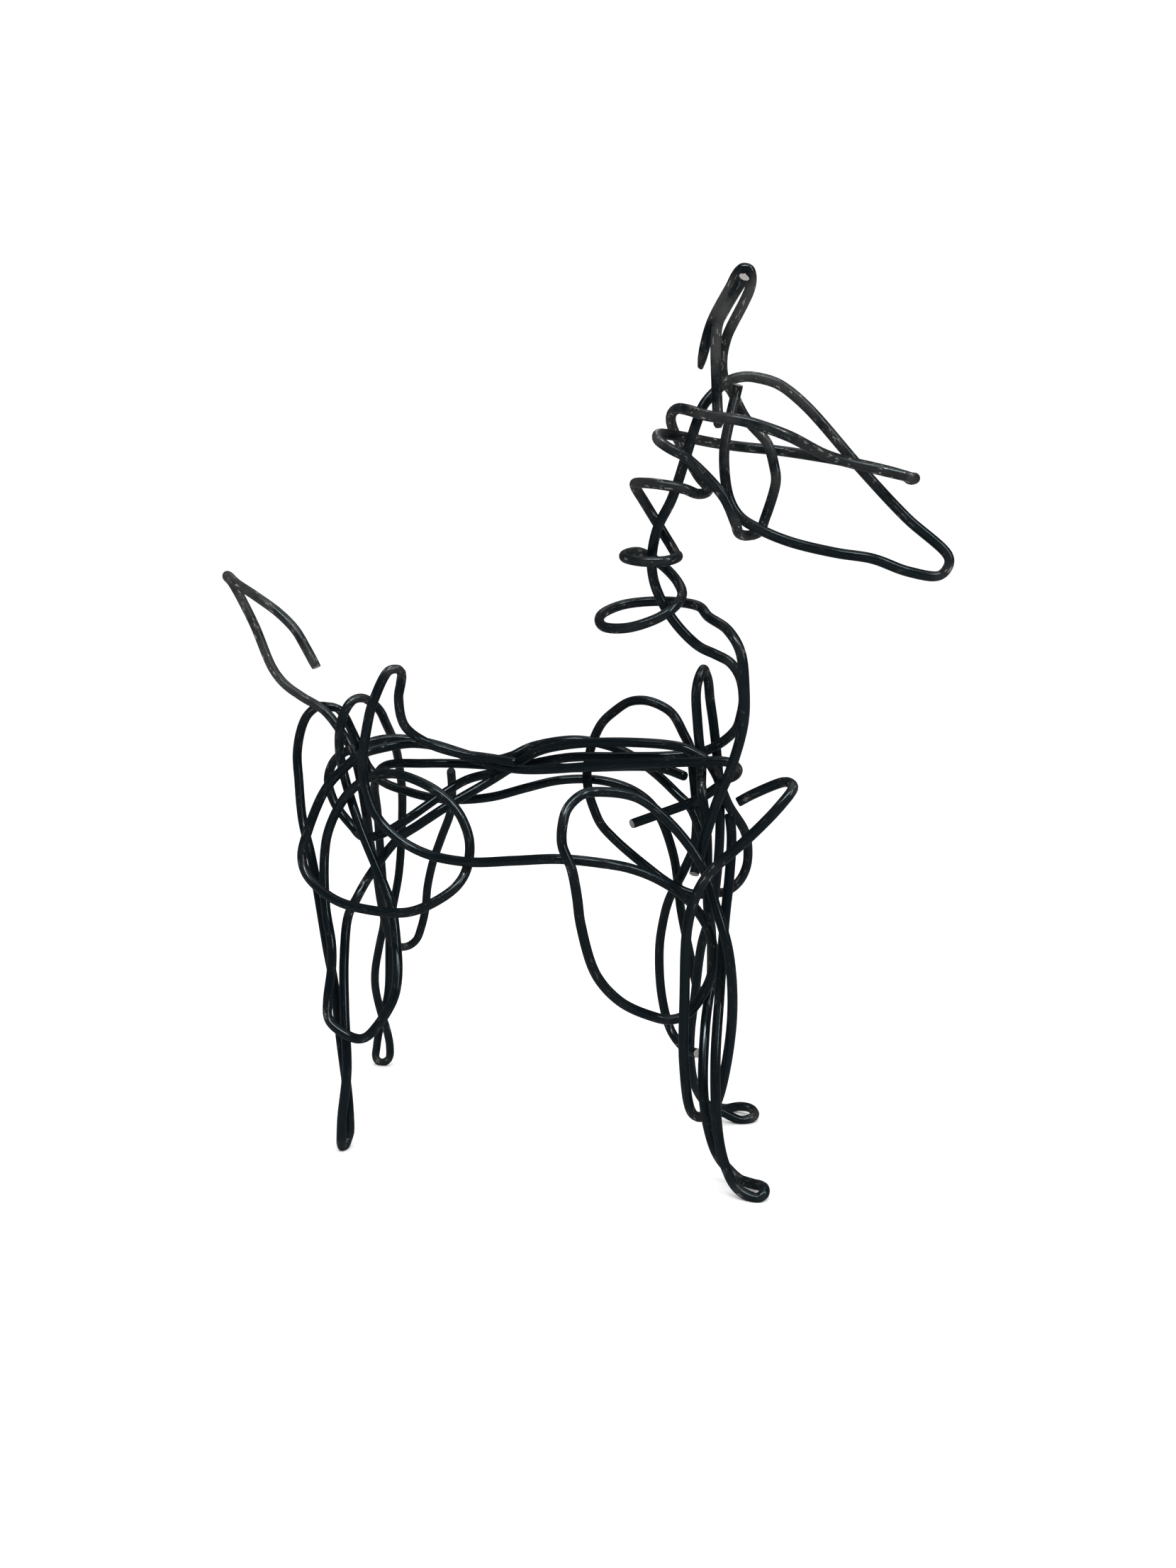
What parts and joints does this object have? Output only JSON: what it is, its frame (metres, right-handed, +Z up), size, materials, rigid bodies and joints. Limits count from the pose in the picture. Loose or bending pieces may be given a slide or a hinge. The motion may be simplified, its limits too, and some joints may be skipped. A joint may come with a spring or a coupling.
{
  "type": "wire sculpture",
  "caption": "Standing four-legged animal with an upright ear and raised tail, bent from lengths of black wire, on looped feet.",
  "frame": {"origin": "centre of the bounding box, on the plane the four looped feet stand on", "axes": "+Z up, +X towards the head, +Y towards the animal's left-hand side"},
  "size_m": [0.1842, 0.067, 0.214],
  "materials": {
    "profile_wire": "satin black lacquer",
    "ear_and_neck_wire": "satin black lacquer",
    "ear_front_strand": "satin black lacquer",
    "belly_wire": "satin black lacquer",
    "withers_wire": "satin black lacquer",
    "haunch_wire": "satin black lacquer",
    "tail_wire": "satin black lacquer",
    "rump_wire": "satin black lacquer"
  },
  "bodies": {
    "root": {"profile_wire": "profile_wire", "ear_and_neck_wire": "ear_and_neck_wire", "ear_front_strand": "ear_front_strand", "belly_wire": "belly_wire", "withers_wire": "withers_wire", "haunch_wire": "haunch_wire", "tail_wire": "tail_wire", "rump_wire": "rump_wire"}
  },
  "joints": []
}
